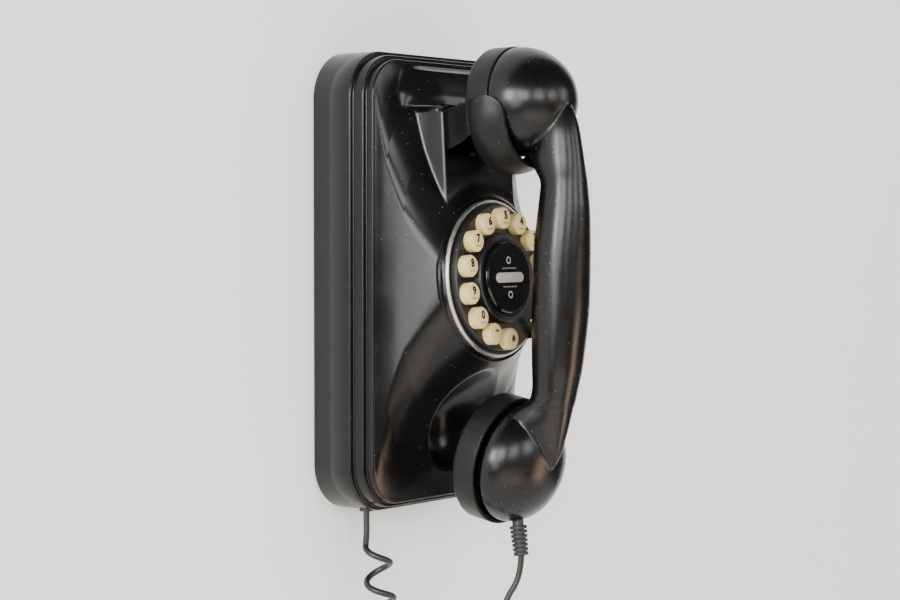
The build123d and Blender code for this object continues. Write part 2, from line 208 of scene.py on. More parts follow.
# Plastics: colour, second tone, roughness, its spread, dust; then grain or wave, and shine
MATERIALS = {
    "housing": plastic("housing_black", (0.0032, 0.0031, 0.0032), (0.005, 0.0048, 0.0048),
                       0.23, 0.04, 0.35, wave=0.07, shine=0.30),
    "handset": plastic("handset_black", (0.0028, 0.0027, 0.0028), (0.0045, 0.0043, 0.0043),
                       0.27, 0.04, 0.4, wave=0.045, shine=0.34),
    "matte": plastic("satin_black", (0.0060, 0.0058, 0.0057), (0.008, 0.0078, 0.0076),
                     0.40, 0.06, 0.4, grain=0.22, shine=0.24),
    "dial": plastic("dial_black", (0.006, 0.0059, 0.0058), (0.009, 0.0088, 0.0085), 0.40, 0.06, 0.7, grain=0.3),
    "disc": plastic("disc_gloss", (0.006, 0.006, 0.0062), (0.009, 0.009, 0.009), 0.09, 0.03, 0.4),
    "cream": plastic("cream", (0.84, 0.65, 0.29), (0.80, 0.60, 0.25), 0.26, 0.06, 0.0, wave=0.05),
    "bar": plastic("bar_grey", (0.50, 0.47, 0.40), (0.56, 0.53, 0.46), 0.34, 0.05, 0.3),
    "ink": plastic("ink_black", (0.004, 0.004, 0.004), (0.007, 0.007, 0.007), 0.6, 0.05, 0.0, shine=0.2),
    "mark": plastic("mark_white", (0.62, 0.62, 0.60), (0.55, 0.55, 0.53), 0.5, 0.05, 0.0),
    "cord": plastic("cord_vinyl", (0.008, 0.008, 0.0085), (0.012, 0.012, 0.012), 0.36, 0.07, 0.4, grain=0.15),
    "rubber": plastic("rubber", (0.013, 0.0127, 0.0124), (0.018, 0.0176, 0.017), 0.55, 0.07, 0.5, grain=0.3),
    "board": plastic("board_green", (0.03, 0.13, 0.06), (0.04, 0.17, 0.08), 0.4, 0.1, 0.0, grain=0.2),
    "bezel": metal("bezel_metal", (0.56, 0.55, 0.52), 0.34),
    "stop": metal("stop_metal", (0.82, 0.60, 0.32), 0.14),
    "steel": metal("steel", (0.55, 0.55, 0.55), 0.34),
}

# ---------------------------------------------------------------- mesh helpers


def finish_mesh(name, mesh, material, body, replaces=(), sharp=40.0):
    mesh.materials.clear()
    mesh.materials.append(MATERIALS[material])
    work = bmesh.new()
    work.from_mesh(mesh)
    bmesh.ops.recalc_face_normals(work, faces=work.faces)
    for face in work.faces:
        face.smooth = True
    for edge in work.edges:
        if len(edge.link_faces) == 2 and edge.calc_face_angle(0.0) > math.radians(sharp):
            edge.smooth = False
    work.to_mesh(mesh)
    work.free()
    obj = bpy.data.objects.new(name, mesh)
    bpy.context.collection.objects.link(obj)
    if body:
        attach(obj, body)
    if replaces:
        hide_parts(*replaces)
    return obj


def mesh_from(name, verts, faces):
    mesh = bpy.data.meshes.new(name)
    mesh.from_pydata([tuple(v) for v in verts], [], [tuple(f) for f in faces])
    mesh.validate()
    return mesh


def grid_faces(rows, columns, wrap=True):
    """Quads between neighbouring rows of points; wrap joins the last column to the first."""
    faces = []
    last = columns if wrap else columns - 1
    for r in range(rows - 1):
        for c in range(last):
            n = (c + 1) % columns
            faces.append((r * columns + c, r * columns + n, (r + 1) * columns + n, (r + 1) * columns + c))
    return faces


def disc_frame(centre, normal):
    """Matrix whose X is the phone's X and whose Z is the disc's outward normal."""
    z = Vector(normal).normalized()
    x = Vector((1, 0, 0))
    y = z.cross(x)
    return Matrix.Translation(centre) @ Matrix((x, y, z)).transposed().to_4x4()


def rounded(profile, radius, steps=5):
    """The corners of an open radius, height outline replaced by arcs; radius 0 entries keep a corner."""
    points = [Vector(p) for p in profile]
    radii = radius if isinstance(radius, (list, tuple)) else [radius] * len(points)
    out = [points[0]]
    for before, at, after, r in zip(points, points[1:], points[2:], radii[1:]):
        a = (before - at).normalized()
        b = (after - at).normalized()
        half = a.angle(b) / 2
        shorter = min((before - at).length, (after - at).length)
        reach = min(r / math.tan(half), 0.48 * shorter) if r else 0
        if reach <= 0 or half > math.radians(88):
            out.append(at)
            continue
        for i in range(steps + 1):
            t = i / steps
            out.append((1 - t) ** 2 * (at + a * reach) + 2 * t * (1 - t) * at + t * t * (at + b * reach))
    out.append(points[-1])
    return out


def lathe(profile, place, segments=96):
    """Surface of revolution: radius, height pairs in metres turned about the frame's Z."""
    verts = []
    for r, h in profile:
        for s in range(segments):
            a = 2 * math.pi * s / segments
            verts.append(place @ Vector((r * math.cos(a), r * math.sin(a), h)))
    mesh = mesh_from("lathe", verts, grid_faces(len(profile), segments))
    work = bmesh.new()
    work.from_mesh(mesh)
    bmesh.ops.remove_doubles(work, verts=work.verts, dist=1e-7)
    work.to_mesh(mesh)
    work.free()
    return mesh


def smoothstep(x, low, high):
    t = np.clip((x - low) / (high - low), 0.0, 1.0)
    return t * t * (3 - 2 * t)


def soft_max(a, b, k):
    h = np.clip(0.5 + 0.5 * (a - b) / k, 0.0, 1.0)
    return b + (a - b) * h + k * h * (1 - h)


def soft_min(a, b, k):
    return -soft_max(-a, -b, k)


def curve_through(stations, values):
    """Smooth monotone-parameter cubic through rows of numbers; values run from 0 to len(stations) - 1."""
    rows = np.array(stations, float)
    padded = np.vstack([2 * rows[0] - rows[1], rows, 2 * rows[-1] - rows[-2]])
    i = np.clip(np.floor(values).astype(int), 0, len(rows) - 2)
    t = (values - i)[:, None]
    p0, p1, p2, p3 = padded[i], padded[i + 1], padded[i + 2], padded[i + 3]
    square = (2 * p0 - 5 * p1 + 4 * p2 - p3) * t ** 2
    cube = (3 * p1 - p0 - 3 * p2 + p3) * t ** 3
    return 0.5 * (2 * p1 + (p2 - p0) * t + square + cube)


# ---------------------------------------------------------------- dial frame, from the joints

DIAL_IN = Vector(JOINTS["press_1"]["axis"]).normalized()
DIAL_OUT = -DIAL_IN
ROCK_AT = Vector(JOINTS["center_rock"]["pos_m"])
ROCK_HEIGHT = 8.9 * MM
DIAL = disc_frame(ROCK_AT - DIAL_OUT * ROCK_HEIGHT, DIAL_OUT)
DIAL_AT = DIAL.translation
BEZEL_R = 39.7 * MM
PLATE_R = 36.6 * MM
PLATE_TOP = 5.2 * MM
KEY_STEP = 2 * math.pi / 14

# ---------------------------------------------------------------- housing

low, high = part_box("housing")
BODY_W = high[0] - low[0]
BODY_H = high[2] - low[2]
CORNER_R = 24.2 * MM
RIM_FRONT = 34.7 * MM
SIDE_DEPTH = 23.9 * MM
MID_DEPTH = 30.4 * MM
SPINE_HALF_W = 28.0 * MM
SLOT_HALF_W = 25.5 * MM
SLOT_LOW = 63.0 * MM
SLOT_HIGH = 87.8 * MM
SCOOP_R = 31.0 * MM
SCOOP_DEPTH = 59.0 * MM
SCOOP_Z = -77.0 * MM
SHELL_T = 2.2 * MM
# Where the sweeping front starts: how far in from the outline, and how far out from the rim's top
FRONT_INSET = 6.2 * MM
FRONT_RISE = 0.2 * MM
FRONT_RINGS = 230
SIDE_STEPS = 120
# Corner radius of the front's level outlines, by share of the way from the rim to the dial
RING_SHARES = (0, 0.1, 0.22, 0.5, 0.78, 1.0)
RING_RADII = (18.0, 29.0, 38.0, 44.0, 42.0, 39.5)
# Depth of the spine and of the brow over it, by height
SPINE_HEIGHTS = (20, 85, 87.8, 94.6, 108)
SPINE_DEPTHS = (57.6, 54.0, 53.7, 47.0, 34.0)
SPINE_FOOT = 22 * MM
BROW_LOW = 84.2 * MM
BROW_HIGH = 87.2 * MM
# Depth lost for each unit past the edge of the spine, and of the brow
SPINE_SLOPE = 5.0
BROW_SLOPE = 1.5
SCOOP_POWER = 2.6


def ring_points(half_w, half_h, radius, centre_z, columns, side_steps):
    """A rounded rectangle in the XZ plane. Columns near the middle of the top and bottom keep their x."""
    edge = columns[-1]

    def top_z(x):
        inner = half_w - radius
        over = np.maximum(np.abs(x) - inner, 0.0)
        return half_h - radius + np.sqrt(np.maximum(radius ** 2 - over ** 2, 0.0))

    # From the last column round the corner and down the side to the middle of the height, by arc length
    inner = half_w - radius
    outline = []
    if edge < inner:
        outline.append((edge, half_h))
        start = math.pi / 2
    else:
        start = math.acos(min((edge - inner) / radius, 1.0))
    for a in np.linspace(start, 0.0, 60):
        outline.append((inner + radius * math.cos(a), half_h - radius + radius * math.sin(a)))
    outline.append((half_w, 0.0))
    outline = np.array(outline)
    run = np.concatenate([[0.0], np.cumsum(np.linalg.norm(np.diff(outline, axis=0), axis=1))])
    at = np.linspace(0, run[-1], side_steps + 1)[1:]
    quarter = np.stack([np.interp(at, run, outline[:, 0]), np.interp(at, run, outline[:, 1])], 1)
    right = np.concatenate([quarter, (quarter * (1, -1))[-2::-1]])
    top = np.stack([columns, top_z(columns)], 1)
    bottom = (top * (1, -1))[::-1]
    ring = np.concatenate([top, right, bottom, (right * (-1, 1))[::-1]])
    return ring + (0.0, centre_z)


def spine_depth(z):
    return np.interp(z / MM, SPINE_HEIGHTS, SPINE_DEPTHS) * MM


def front_depth(x, z, tent):
    """Depth of the front for a point of the tent: the spine stands proud of it, the scoop is cut into it."""
    brow = smoothstep(z, BROW_LOW, BROW_HIGH)
    blend = (2.6 + 12 * smoothstep(z, 84.6 * MM, 96 * MM)) * MM
    slope = SPINE_SLOPE + (BROW_SLOPE - SPINE_SLOPE) * brow
    # Past its half width the spine falls away, round a soft edge that is wider on the brow
    beyond = np.abs(x) - SPINE_HALF_W
    soft = (0.35 + 4.5 * brow + 6.0 * smoothstep(z, 87 * MM, 97 * MM)) * MM
    edge = (beyond + soft) ** 2 / (4 * soft)
    over = np.where(beyond < -soft, 0.0, np.where(beyond > soft, beyond, edge))
    spine = spine_depth(z) - over * slope - np.maximum(SPINE_FOOT - z, 0.0) * 4
    depth = soft_max(tent, spine, blend)
    reach = np.sqrt(x ** 2 + (z - SCOOP_Z) ** 2) / SCOOP_R
    bowl = SCOOP_DEPTH - SCOOP_R * (1 - np.minimum(reach, 1.0) ** SCOOP_POWER)
    scoop = np.where(reach < 1, bowl, SCOOP_DEPTH + (reach - 1) * SCOOP_R * SCOOP_POWER)
    return soft_min(depth, scoop, 2.6 * MM)


def housing():
    # Columns across the phone, closer together at the edges of the slot and of the spine
    fine = np.concatenate([np.arange(0, 25.4, 0.85), [25.5, 26.2, 26.9, 27.3], np.arange(27.6, 36.1, 0.3)])
    columns = np.concatenate([-fine[:0:-1], fine]) * MM
    rings = []
    # Rim: wall, then two shallow steps, each with a small rounded edge
    first, second = 2.2 * MM, 4.5 * MM
    rim = rounded([(0, 0), (0, SIDE_DEPTH), (first, SIDE_DEPTH), (first, MID_DEPTH), (second, MID_DEPTH),
                   (second, RIM_FRONT), (FRONT_INSET, RIM_FRONT + FRONT_RISE)],
                  [0, 1.1 * MM, 0.7 * MM, 1.0 * MM, 0.7 * MM, 1.3 * MM, 0], 5)
    for inset, depth in rim:
        ring = ring_points(BODY_W / 2 - inset, BODY_H / 2 - inset, CORNER_R - inset, 0.0, columns, SIDE_STEPS)
        rings.append(np.column_stack([ring[:, 0], np.full(len(ring), -depth), ring[:, 1]]))
    # Front: level outlines that shrink from the rim to the dial while the depth grows, slowly at first
    start_w, start_h = BODY_W / 2 - FRONT_INSET, BODY_H / 2 - FRONT_INSET
    end = BEZEL_R - 0.2 * MM
    tilt = math.atan2(DIAL_OUT.z, -DIAL_OUT.y)
    for share in np.linspace(0, 1, FRONT_RINGS)[1:]:
        half_w = start_w + (end - start_w) * share
        half_h = start_h + (end - start_h) * share
        radius = min(np.interp(share, RING_SHARES, RING_RADII) * MM, half_w, half_h)
        centre_z = DIAL_AT.z * share
        ring = ring_points(half_w, half_h, radius, centre_z, columns, SIDE_STEPS)
        x, z = ring[:, 0], ring[:, 1]
        # Hollow above and below the dial, nearly straight at its sides
        hollow = 0.34 * share + 0.66 * share ** 2.5
        gentle = 0.52 * share + 0.48 * share ** 2
        sideways = smoothstep(np.abs(x) / half_w, 0.35, 1.0)
        rise = hollow + (gentle - hollow) * sideways
        tent = RIM_FRONT + FRONT_RISE + (-DIAL_AT.y - RIM_FRONT) * rise
        tent = tent - share ** 3 * (z - centre_z) * math.tan(tilt)
        depth = front_depth(x, z, tent)
        fade = smoothstep(share, 0.0, 0.05)
        close = smoothstep(share, 0.93, 1.0)
        depth = tent + (depth - tent) * fade * (1 - close)
        rings.append(np.column_stack([x, -depth, z]))
    # Lip that turns into the dial opening
    for drop in (0.6, 3.0):
        ring = rings[-1].copy()
        ring[:, 1] += drop * MM
        rings.append(ring)
    verts = np.concatenate(rings)
    kept = []
    for face in grid_faces(len(rings), len(rings[0])):
        x, y, z = verts[list(face)].mean(axis=0)
        if not (abs(x) < SLOT_HALF_W and SLOT_LOW < z < SLOT_HIGH and y < -RIM_FRONT):
            kept.append(face)
    obj = finish_mesh("housing_shell", mesh_from("housing_shell", verts, kept), "housing", "base",
                      ("housing",), sharp=70)
    thick = obj.modifiers.new("wall", "SOLIDIFY")
    thick.thickness = SHELL_T
    thick.offset = -1


# ---------------------------------------------------------------- dial


BUTTON_R = 5.4 * MM
BUTTON_TOP = 10.6 * MM
BUTTON_FOOT = -0.4 * MM
CROWN_H = 1.2 * MM
DIGIT_SIZE = 5.4 * MM
STAR_SIZE = 7.0 * MM
HASH_SIZE = 4.2 * MM
STROKE = 0.055
INK_LIFT = 0.03 * MM
HUB_R = 22.4 * MM
HUB_TOP = 9.0 * MM
DISC_R = 18.0 * MM
DISC_TOP = 10.4 * MM
BAR_REACH = 8.6 * MM
BAR_HALF = 2.5 * MM


def button_profile():
    crown = []
    for a in np.linspace(0.5, math.pi / 2, 14):
        crown.append((BUTTON_R * math.cos(a), BUTTON_TOP - CROWN_H + CROWN_H * math.sin(a)))
    side = rounded([(BUTTON_R, BUTTON_FOOT), (BUTTON_R, BUTTON_TOP - 1.4 * MM), crown[0]], 0.5 * MM, 4)
    return [(0, BUTTON_FOOT)] + [tuple(p) for p in side] + crown[1:]


def glyphs(words, size, at):
    data = bpy.data.curves.new("glyph", "FONT")
    data.body = words
    data.size = size
    data.align_x = "CENTER"
    data.align_y = "CENTER"
    data.resolution_u = 3
    data.offset = STROKE * size
    holder = bpy.data.objects.new("glyph", data)
    bpy.context.collection.objects.link(holder)
    bpy.context.view_layer.update()
    mesh = bpy.data.meshes.new_from_object(holder.evaluated_get(bpy.context.evaluated_depsgraph_get()))
    bpy.data.objects.remove(holder)
    mesh.transform(Matrix.Translation((at[0], at[1], 0)))
    return mesh


def dash(x, y, width, height):
    corners = [(x + sx * width / 2, y + sy * height / 2, 0) for sx, sy in ((-1, -1), (1, -1), (1, 1), (-1, 1))]
    return mesh_from("dash", corners, [(0, 1, 2, 3)])


def printed(name, parts, place, height_at, material, body):
    """Flat marks laid onto a curved face: cut into small cells, then each point lifted to the face."""
    work = bmesh.new()
    for mesh in parts:
        work.from_mesh(mesh)
    for axis in range(2):
        normal = Vector((1, 0, 0)) if axis == 0 else Vector((0, 1, 0))
        for i in range(-16, 17):
            geometry = work.verts[:] + work.edges[:] + work.faces[:]
            bmesh.ops.bisect_plane(work, geom=geometry, plane_co=normal * i * 0.6 * MM, plane_no=normal)
    for vert in work.verts:
        vert.co.z = height_at(vert.co.x, vert.co.y) + INK_LIFT
    mesh = bpy.data.meshes.new(name)
    work.to_mesh(mesh)
    work.free()
    mesh.transform(place)
    return finish_mesh(name, mesh, material, body)


def key_top(x, y):
    reach = min(math.hypot(x, y) / BUTTON_R, 0.97)
    return BUTTON_TOP - CROWN_H + CROWN_H * math.sqrt(1 - reach ** 2)


def buttons():
    to_dial = DIAL.inverted()
    for name in [*"1234567890", "star", "hash"]:
        node = "button_" + name
        body = "key_" + name
        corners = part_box(node)
        middle = to_dial @ ((Vector(corners[0]) + Vector(corners[1])) / 2)
        place = DIAL @ Matrix.Translation((middle.x, middle.y, 0))
        finish_mesh("key_cap_" + name, lathe(button_profile(), place, 72), "cream", body, (node,),
                    sharp=60)
        if name == "star":
            marks = [glyphs("*", STAR_SIZE, (0, -0.9 * MM))]
        elif name == "hash":
            marks = [glyphs("#", HASH_SIZE, (0, 0.2 * MM))]
        else:
            # Three dashes stand in for the group of letters
            marks = [glyphs(name, DIGIT_SIZE, (0, 1.2 * MM))]
            for i in range(-1, 2):
                marks.append(dash(i * 1.7 * MM, -2.5 * MM, 1.0 * MM, 0.55 * MM))
        printed("key_mark_" + name, marks, place, key_top, "ink", body)


def bezel_and_plate():
    inner = BEZEL_R - 2.6 * MM
    bezel = rounded([(inner, 0.2 * MM), (BEZEL_R, 0.2 * MM), (BEZEL_R, 1.3 * MM), (BEZEL_R - 0.7 * MM, 2.2 * MM),
                     (BEZEL_R - 1.3 * MM, 2.2 * MM), (inner, 0.9 * MM), (inner, 0.2 * MM)], 0.3 * MM, 4)
    finish_mesh("bezel", lathe(bezel, DIAL, 160), "bezel", "base", ("bezel_ring",), sharp=80)
    foot = PLATE_R + 0.4 * MM
    plate = rounded([(0, -0.3 * MM), (foot, -0.3 * MM), (foot, 0.7 * MM), (PLATE_R, 0.9 * MM),
                     (PLATE_R - 0.1 * MM, PLATE_TOP - 0.5 * MM), (PLATE_R - 0.6 * MM, PLATE_TOP), (0, PLATE_TOP)],
                    0.4 * MM, 4)
    finish_mesh("dial_face", lathe(plate, DIAL, 144), "dial", "base", ("dial_plate",), sharp=70)


def centre_disc():
    gap_r = DISC_R + 0.6 * MM
    hub = rounded([(HUB_R - 2.4 * MM, PLATE_TOP), (HUB_R + 0.6 * MM, PLATE_TOP), (HUB_R, 8.2 * MM),
                   (HUB_R - 0.7 * MM, HUB_TOP), (DISC_R + 1.6 * MM, HUB_TOP), (DISC_R + 1.2 * MM, 8.3 * MM),
                   (gap_r, 8.3 * MM), (gap_r, 6.2 * MM)], 0.4 * MM, 4)
    finish_mesh("dial_hub_ring", lathe(hub, DIAL, 128), "dial", "base", ("dial_hub",), sharp=60)
    disc = rounded([(0, 7.4 * MM), (DISC_R, 7.4 * MM), (DISC_R, 9.5 * MM), (DISC_R - 0.7 * MM, 10.3 * MM),
                    (DISC_R - 4 * MM, DISC_TOP), (0, DISC_TOP)], 0.35 * MM, 4)
    finish_mesh("center_disc_cover", lathe(disc, DIAL, 128), "disc", "center_key", ("center_disc",),
                sharp=60)


def centre_bar():
    outline = []
    for i in range(24):
        a = math.pi * (i / 23) - math.pi / 2
        outline.append((BAR_REACH + BAR_HALF * math.cos(a), BAR_HALF * math.sin(a)))
    outline += [(-x, -y) for x, y in outline]
    # Each level: how much of the full outline is left, and its height in mm
    levels = ((1.0, 9.0), (1.0, 10.75), (0.97, 10.95), (0.9, 11.05), (0.75, 11.1))
    verts = []
    for shrink, height in levels:
        for x, y in outline:
            root = math.copysign(min(abs(x), BAR_REACH), x)
            verts.append(DIAL @ Vector((root + (x - root) * shrink, y * shrink, height * MM)))
    count = len(outline)
    faces = grid_faces(len(levels), count)
    faces.append(tuple(range((len(levels) - 1) * count, len(levels) * count)))
    finish_mesh("center_bar_cap", mesh_from("center_bar_cap", verts, faces), "bar", "center_key",
                ("center_bar",), sharp=50)


def centre_marks():
    """A row of dots and a ring on each side of the bar, in place of words."""
    marks = []
    for side in (-1, 1):
        for i in range(-3, 4):
            place = Matrix.Translation((i * 1.7 * MM, side * 4.6 * MM, 0))
            marks.append(lathe([(0, 0), (0.38 * MM, 0)], place, 12))
        place = Matrix.Translation((0, side * 8.6 * MM, 0))
        marks.append(lathe([(1.25 * MM, 0), (1.8 * MM, 0)], place, 40))
    printed("center_marks", marks, DIAL, lambda x, y: DISC_TOP, "mark", "center_key")


def finger_stop():
    """A bright curved blade from the rim of the dial over two empty places in the ring of keys."""
    place = DIAL @ Matrix.Rotation(-2 * KEY_STEP, 4, "Z")
    # Radius and height of its middle line
    path = rounded([(37.6 * MM, 2.4 * MM), (37.6 * MM, 8.4 * MM), (35.2 * MM, 10.0 * MM), (26.6 * MM, 10.2 * MM)],
                   2.2 * MM, 8)
    root_half, tip_half, half_t = 3.2 * MM, 2.2 * MM, 0.65 * MM
    around = 24
    verts = []
    for i, point in enumerate(path):
        half = root_half + (tip_half - root_half) * i / (len(path) - 1)
        along = (path[min(i + 1, len(path) - 1)] - path[max(i - 1, 0)]).normalized()
        normal = Vector((-along.y, along.x))
        for a in np.arange(around) * 2 * math.pi / around:
            side = half * math.copysign(abs(math.cos(a)) ** 0.6, math.cos(a))
            lift = half_t * math.copysign(abs(math.sin(a)) ** 0.9, math.sin(a))
            verts.append(place @ Vector((point.x - normal.x * lift, side, point.y - normal.y * lift)))
    faces = grid_faces(len(path), around)
    faces.append(tuple(range(around))[::-1])
    faces.append(tuple(range(len(verts) - around, len(verts))))
    finish_mesh("finger_stop_blade", mesh_from("finger_stop_blade", verts, faces), "stop", "base",
                ("finger_stop",), sharp=50)


# ---------------------------------------------------------------- handset

EAR_TILT = math.radians(1.0)
MOUTH_TILT = math.radians(-10.6)
EAR = disc_frame(Vector((0, -66.4, 89.5)) * MM, (0, -math.cos(EAR_TILT), math.sin(EAR_TILT)))
MOUTH = disc_frame(Vector((0, -63.0, -87.4)) * MM, (0, -math.cos(MOUTH_TILT), math.sin(MOUTH_TILT)))
EAR_R = 27.4 * MM
EAR_W = 14.0 * MM
EAR_DOME_H = 29.5 * MM
MOUTH_R = 32.4 * MM
MOUTH_W = 13.7 * MM
BULB_H = 21.5 * MM
HANDLE_RINGS = 190
HANDLE_AROUND = 96
SKIN_CELL = 0.6 * MM
SOFTEN_ROUNDS = 12
# Handle from the tip on the ear dome down to the tip on the mouth bulb, in mm:
# height, depth of the side toward the wall, depth of the front, half width, and how much wider the wall side is
HANDLE = (
    (88.5, 104.0, 110.4, 1.2, 0), (84.0, 97.0, 112.8, 5.6, 0), (76.0, 90.0, 115.2, 9.0, 0),
    (66.0, 88.0, 117.0, 10.3, 0), (57.0, 91.5, 118.3, 10.8, 0), (50.0, 96.0, 119.1, 11.4, 0),
    (43.0, 95.9, 119.7, 12.1, 0), (36.0, 95.1, 120.2, 12.9, 0), (21.0, 93.6, 120.2, 14.3, 0),
    (4.0, 92.8, 119.8, 15.1, 0), (-14.0, 92.2, 119.2, 15.0, 0), (-30.0, 92.0, 117.4, 14.2, 0),
    (-42.0, 92.0, 115.8, 13.2, 0), (-50.0, 91.9, 114.1, 12.2, 0), (-54.5, 91.4, 113.0, 11.9, 0.02),
    (-57.5, 90.2, 112.3, 11.9, 0.05), (-60.0, 87.0, 111.7, 12.0, 0.12), (-61.8, 81.5, 111.2, 12.0, 0.25),
    (-66.0, 78.0, 110.3, 11.8, 0.55), (-71.0, 77.5, 109.1, 11.0, 0.8), (-78.0, 81.0, 107.2, 9.2, 0.7),
    (-85.0, 87.0, 105.2, 6.4, 0.3), (-91.5, 94.5, 102.3, 1.5, 0),
)


def superellipse(angle, power):
    c, s = math.cos(angle), math.sin(angle)
    return (math.copysign(abs(c) ** (2 / power), c), math.copysign(abs(s) ** (2 / power), s))


def handle_mesh():
    stations = curve_through(HANDLE, np.linspace(0, len(HANDLE) - 1, HANDLE_RINGS))
    verts = []
    for z, inner, outer, half_w, flare in stations:
        middle, half_d = (inner + outer) / 2, (outer - inner) / 2
        for i in range(HANDLE_AROUND):
            cx, cy = superellipse(2 * math.pi * i / HANDLE_AROUND, 2.12)
            widen = 1 + flare * (0.5 - 0.5 * cy) ** 1.5
            verts.append((half_w * cx * widen * MM, -(middle + half_d * cy) * MM, z * MM))
    faces = grid_faces(len(stations), HANDLE_AROUND)
    faces.append(tuple(range(HANDLE_AROUND)))
    faces.append(tuple(range(len(verts) - HANDLE_AROUND, len(verts)))[::-1])
    return mesh_from("handle", verts, faces)


def dome_profile(radius, height, start):
    return [(radius * math.cos(a), start + height * math.sin(a)) for a in np.linspace(0, math.pi / 2, 40)]


def union(name, meshes):
    """One closed surface from overlapping closed ones."""
    objects = []
    for mesh in meshes:
        work = bmesh.new()
        work.from_mesh(mesh)
        bmesh.ops.recalc_face_normals(work, faces=work.faces)
        work.to_mesh(mesh)
        work.free()
        obj = bpy.data.objects.new(name, mesh)
        bpy.context.collection.objects.link(obj)
        objects.append(obj)
    for other in objects[1:]:
        cut = objects[0].modifiers.new("join", "BOOLEAN")
        cut.operation = "UNION"
        cut.solver = "EXACT"
        cut.object = other
    bpy.context.view_layer.update()
    merged = bpy.data.meshes.new_from_object(objects[0].evaluated_get(bpy.context.evaluated_depsgraph_get()))
    for obj in objects:
        bpy.data.objects.remove(obj)
    return merged


def melted(name, mesh, cell, rounds):
    """The parts of one moulding run into each other with a small fillet at their seams."""
    obj = bpy.data.objects.new(name, mesh)
    bpy.context.collection.objects.link(obj)
    skin = obj.modifiers.new("skin", "REMESH")
    skin.mode = "VOXEL"
    skin.voxel_size = cell
    soften = obj.modifiers.new("soften", "SMOOTH")
    soften.factor = 0.5
    soften.iterations = rounds
    bpy.context.view_layer.update()
    out = bpy.data.meshes.new_from_object(obj.evaluated_get(bpy.context.evaluated_depsgraph_get()))
    bpy.data.objects.remove(obj)
    return out


def handset():
    ear_seat, ear_lip = EAR_W - 1.5 * MM, EAR_R - 1.2 * MM
    ear_dome = [(0, ear_seat), (ear_lip, ear_seat), (ear_lip, EAR_W + 0.6 * MM)]
    ear_dome += dome_profile(EAR_R - 0.4 * MM, EAR_DOME_H, EAR_W + 0.8 * MM)
    mouth_seat, mouth_lip = MOUTH_W - 1.5 * MM, MOUTH_R - 5.0 * MM
    bulb = [(0, mouth_seat), (mouth_lip, mouth_seat), (mouth_lip, MOUTH_W + 1.8 * MM),
            (MOUTH_R - 3.2 * MM, MOUTH_W + 2.1 * MM)]
    bulb += dome_profile(MOUTH_R - 2.4 * MM, BULB_H, MOUTH_W + 2.6 * MM)
    shell = union("handset", [lathe(ear_dome, EAR, 144), handle_mesh(), lathe(bulb, MOUTH, 144)])
    shell = melted("handset_body", shell, SKIN_CELL, SOFTEN_ROUNDS)
    finish_mesh("handset_body", shell, "handset", "handset", ("handset_shell",), sharp=60)
    for name, radius, width, place in (("ear", EAR_R, EAR_W, EAR), ("mouth", MOUTH_R, MOUTH_W, MOUTH)):
        cap = rounded([(0, 2.8 * MM), (radius - 5.0 * MM, 0.8 * MM), (radius - 2.4 * MM, 0.0),
                       (radius - 0.9 * MM, 0.5 * MM), (radius, 1.8 * MM), (radius, width),
                       (radius - 1.0 * MM, width + 0.1 * MM), (radius - 2.6 * MM, width - 0.4 * MM),
                       (radius - 2.8 * MM, width - 3.0 * MM)], 0.7 * MM, 4)
        finish_mesh(name + "_cap_shell", lathe(cap, place, 144), "matte", "handset", (name + "_cap",),
                    sharp=60)


RELIEF_TOP = Vector((0, -79.0, -114.0)) * MM
RELIEF_END = Vector((0, -82.0, -137.0)) * MM
RELIEF_R = 2.9 * MM
RIB_R = 4.4 * MM
RIB_TAPER = 0.1 * MM
RIB_PITCH = 2.2 * MM
RIBS = 7


def strain_relief():
    place = disc_frame(RELIEF_TOP, RELIEF_END - RELIEF_TOP)
    length = (RELIEF_END - RELIEF_TOP).length
    profile = [(0, 0), (RELIEF_R, 0)]
    for i in range(RIBS):
        low = length - 1.7 * MM - RIB_PITCH * (RIBS - 1 - i)
        r = RIB_R - RIB_TAPER * i
        profile += [(RELIEF_R, low - 0.05 * MM), (r - 0.2 * MM, low), (r, low + 0.3 * MM), (r, low + 1.2 * MM),
                    (r - 0.2 * MM, low + 1.5 * MM), (RELIEF_R, low + 1.55 * MM)]
    profile += [(RELIEF_R - 0.5 * MM, length), (0, length)]
    finish_mesh("handset_cord_boot", lathe(profile, place, 40), "rubber", "handset", ("strain_relief",),
                sharp=50)


# ---------------------------------------------------------------- cradle


# All in mm: half widths of the arm and of the strap, and the depths between which one widens to the other
ARM_HALF_W, STRAP_R = 24.8, 31.0
FLARE_FROM, FLARE_TO = 54.0, 78.0
STRAP_Z, STRAP_BACK, STRAP_FRONT = 84.5, 70.5, 91.0
STRAP_DRAW_IN = 3.0
ARM_BACK, ARM_MOUTH, WEB_FRONT = 19, 52, 65.2
# Upper and lower edge of the side plates: depths, then heights
TOP_LINE = ((19, 27, 50, 58, 63, 67, 71, 75, 79, 83, 86, 88.5, 90.3, 91),
            (78, 80.5, 84.4, 84.9, 86.2, 88.2, 89.9, 91.1, 91.7, 91.4, 90.3, 88.4, 85.4, 81))
LOW_LINE = ((19, 50, 56, 64, 70.5), (66, 66, 66.2, 69.4, 72.6))
PLATE_T, STRAP_T, WEB_T = 1.0 * MM, 2.0 * MM, 2.4 * MM


def half_width(depth):
    return ARM_HALF_W + (STRAP_R - ARM_HALF_W) * smoothstep(depth, FLARE_FROM, FLARE_TO)


def plate_x(depth, z):
    # Below the strap's centre the plates lean in, to run into its curve
    bend = STRAP_R - math.sqrt(STRAP_R ** 2 - max(STRAP_Z - z, 0.0) ** 2)
    return half_width(depth) - bend * smoothstep(depth, FLARE_FROM, FLARE_TO)


